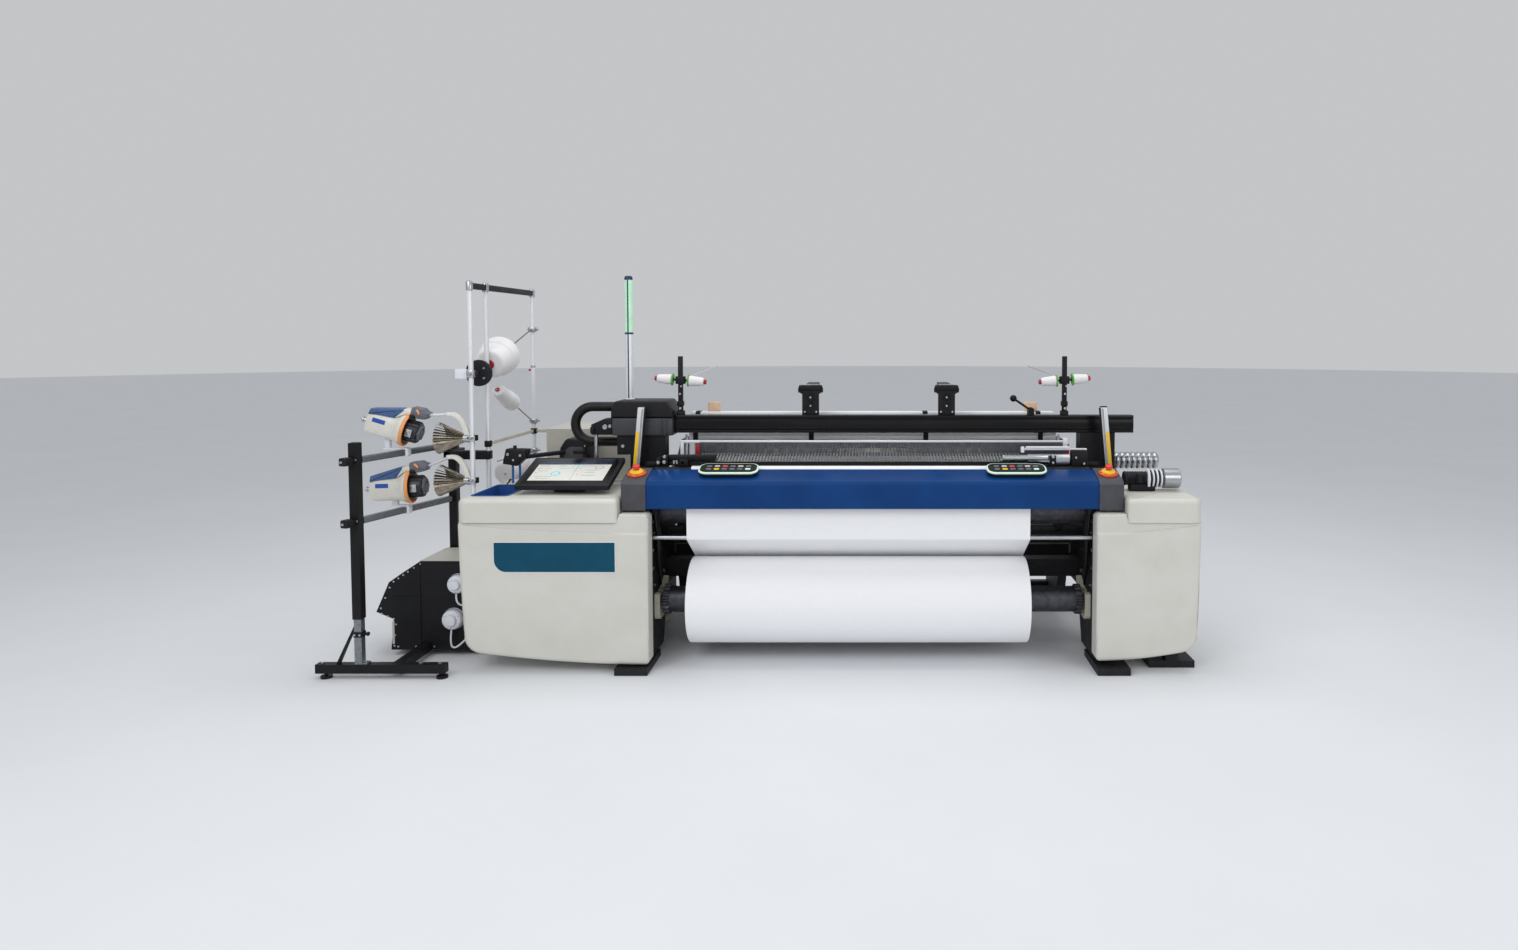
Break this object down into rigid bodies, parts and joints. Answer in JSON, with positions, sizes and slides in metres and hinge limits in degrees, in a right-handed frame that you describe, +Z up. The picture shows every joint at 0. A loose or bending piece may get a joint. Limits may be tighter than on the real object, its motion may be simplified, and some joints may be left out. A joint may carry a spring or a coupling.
{
  "type": "air-jet power loom",
  "caption": "Power loom that weaves cotton cloth with air jets, with grey front covers, blue breast beam, cloth roll, warp beam and a weft feeder stand at its left.",
  "frame": {"origin": "middle of the footprint box, on the floor", "axes": "+X to the right along the breast beam as the weaver sees it, +Y from the weaver towards the warp beam, +Z up"},
  "size_m": [4.164, 1.6727, 1.922],
  "materials": {
    "cast_frame": "satin",
    "black_steel": "satin",
    "cover_grey": "satin",
    "beam_blue": "satin",
    "tray_blue": "matte",
    "dark_plastic": "matte",
    "black_plastic": "satin",
    "stop_yellow": "gloss",
    "stop_red": "gloss",
    "screen_glass": "gloss",
    "aluminium": "brushed",
    "steel": "brushed",
    "galvanised": "satin",
    "dark_steel": "brushed",
    "rubber": "satin",
    "cabinet_grey": "satin",
    "lamp_white": "gloss",
    "yarn": "matte",
    "cloth": "matte",
    "cream_cast": "satin",
    "feeder_grey": "satin",
    "drum_dark": "satin",
    "unit_white": "satin"
  },
  "bodies": {
    "frame": {"air_hood": "black_steel", "balloon_breakers": "steel", "base_members": "black_steel", "beam_ends": "dark_plastic", "beam_hooks": "cream_cast", "beam_posts": "black_steel", "bobbin_posts": "black_steel", "breast_beam": "beam_blue", "cable_hose": "rubber", "control_cabinet": "cabinet_grey", "creel_frame": "aluminium", "display_foot": "black_plastic", "drive_units": "cast_frame", "fabric_web": "cloth", "feeder_drums": "drum_dark", "feeder_housings": "feeder_grey", "guide_bar": "steel", "harness_cover": "dark_plastic", "heald_guides": "black_steel", "keypads": "black_plastic", "left_front_cover": "cover_grey", "left_top_lid": "cover_grey", "light_posts": "aluminium", "regulators": "unit_white", "right_front_cover": "cover_grey", "right_top_lid": "cover_grey", "selvedge_motor": "steel", "side_frames": "cast_frame", "signal_lamp": "lamp_white", "stand_base": "black_steel", "stand_mast": "galvanised", "stand_sleeve": "black_steel", "stop_motion": "black_steel", "stop_switches": "stop_yellow", "storage_tray": "tray_blue", "temples": "steel", "top_beam": "black_steel", "warp_sheet": "yarn", "waste_duct": "aluminium", "weft_nozzle": "black_plastic", "yarn_packages": "yarn"},
    "left_stop": {"left_stop_button": "stop_red"},
    "right_stop": {"right_stop_button": "stop_red"},
    "display": {"display_housing": "black_plastic", "display_screen": "screen_glass"},
    "lever": {"clamp_lever": "black_steel"},
    "take_up": {"take_up_roller": "cast_frame"},
    "cloth_beam": {"cloth_core": "dark_steel", "cloth_roll": "cloth"},
    "warp_beam": {"warp_beam": "dark_steel", "warp_roll": "yarn"},
    "back_rest": {"back_rest_roller": "steel"},
    "sley": {"sley_beam": "aluminium", "reed": "steel"},
    "heald_1": {"heald_frame_1": "aluminium"},
    "heald_2": {"heald_frame_2": "aluminium"},
    "heald_3": {"heald_frame_3": "aluminium"},
    "heald_4": {"heald_frame_4": "aluminium"},
    "upper_winder": {"upper_winder": "drum_dark"},
    "lower_winder": {"lower_winder": "drum_dark"}
  },
  "joints": [
    {"name": "warp_beam_turn", "type": "hinge", "parent": "frame", "child": "warp_beam", "pos_m": [0.524, 0.46647, 0.452], "axis": [1, 0, 0], "continuous": true},
    {"name": "back_rest_turn", "type": "hinge", "parent": "frame", "child": "back_rest", "pos_m": [0.524, 0.52247, 0.904], "axis": [1, 0, 0], "continuous": true},
    {"name": "take_up_turn", "type": "hinge", "parent": "frame", "child": "take_up", "pos_m": [0.524, -0.43153, 0.742], "axis": [1, 0, 0], "continuous": true},
    {"name": "cloth_beam_turn", "type": "hinge", "parent": "frame", "child": "cloth_beam", "pos_m": [0.524, -0.46353, 0.292], "axis": [1, 0, 0], "continuous": true},
    {"name": "sley_swing", "type": "hinge", "parent": "frame", "child": "sley", "pos_m": [0.524, -0.18353, 0.56], "axis": [1, 0, 0], "range_deg": [0, 10]},
    {"name": "heald_1_lift", "type": "slide", "parent": "frame", "child": "heald_1", "axis": [0, 0, 1], "range_m": [0, 0.1]},
    {"name": "heald_2_lift", "type": "slide", "parent": "frame", "child": "heald_2", "axis": [0, 0, 1], "range_m": [0, 0.1]},
    {"name": "heald_3_lift", "type": "slide", "parent": "frame", "child": "heald_3", "axis": [0, 0, 1], "range_m": [-0.1, 0]},
    {"name": "heald_4_lift", "type": "slide", "parent": "frame", "child": "heald_4", "axis": [0, 0, 1], "range_m": [-0.1, 0]},
    {"name": "left_stop_press", "type": "slide", "parent": "frame", "child": "left_stop", "axis": [0, 0.2691, -0.9631], "range_m": [0, 0.005], "stiffness_N_per_m": 4000},
    {"name": "right_stop_press", "type": "slide", "parent": "frame", "child": "right_stop", "axis": [0, 0.2691, -0.9631], "range_m": [0, 0.005], "stiffness_N_per_m": 4000},
    {"name": "display_tilt", "type": "hinge", "parent": "frame", "child": "display", "pos_m": [-0.978, -0.42813, 0.8807], "axis": [1, 0, 0], "range_deg": [-15, 2]},
    {"name": "lever_turn", "type": "hinge", "parent": "frame", "child": "lever", "pos_m": [1.354, -0.17853, 1.214], "axis": [0, 1, 0], "range_deg": [-20, 90]},
    {"name": "upper_winder_turn", "type": "hinge", "parent": "frame", "child": "upper_winder", "pos_m": [-1.798, -0.44853, 1.14], "axis": [0.9576, 0.0872, -0.2746], "continuous": true},
    {"name": "lower_winder_turn", "type": "hinge", "parent": "frame", "child": "lower_winder", "pos_m": [-1.782, -0.44853, 0.854], "axis": [0.9956, 0.0872, 0.0348], "continuous": true}
  ],
  "couplings": [
    {"joint": "back_rest_turn", "follows": "warp_beam_turn", "ratio": 4.3333},
    {"joint": "take_up_turn", "follows": "warp_beam_turn", "ratio": -4},
    {"joint": "cloth_beam_turn", "follows": "warp_beam_turn", "ratio": -1.4857},
    {"joint": "heald_2_lift", "follows": "heald_1_lift", "ratio": 1},
    {"joint": "heald_3_lift", "follows": "heald_1_lift", "ratio": -1},
    {"joint": "heald_4_lift", "follows": "heald_1_lift", "ratio": -1}
  ]
}
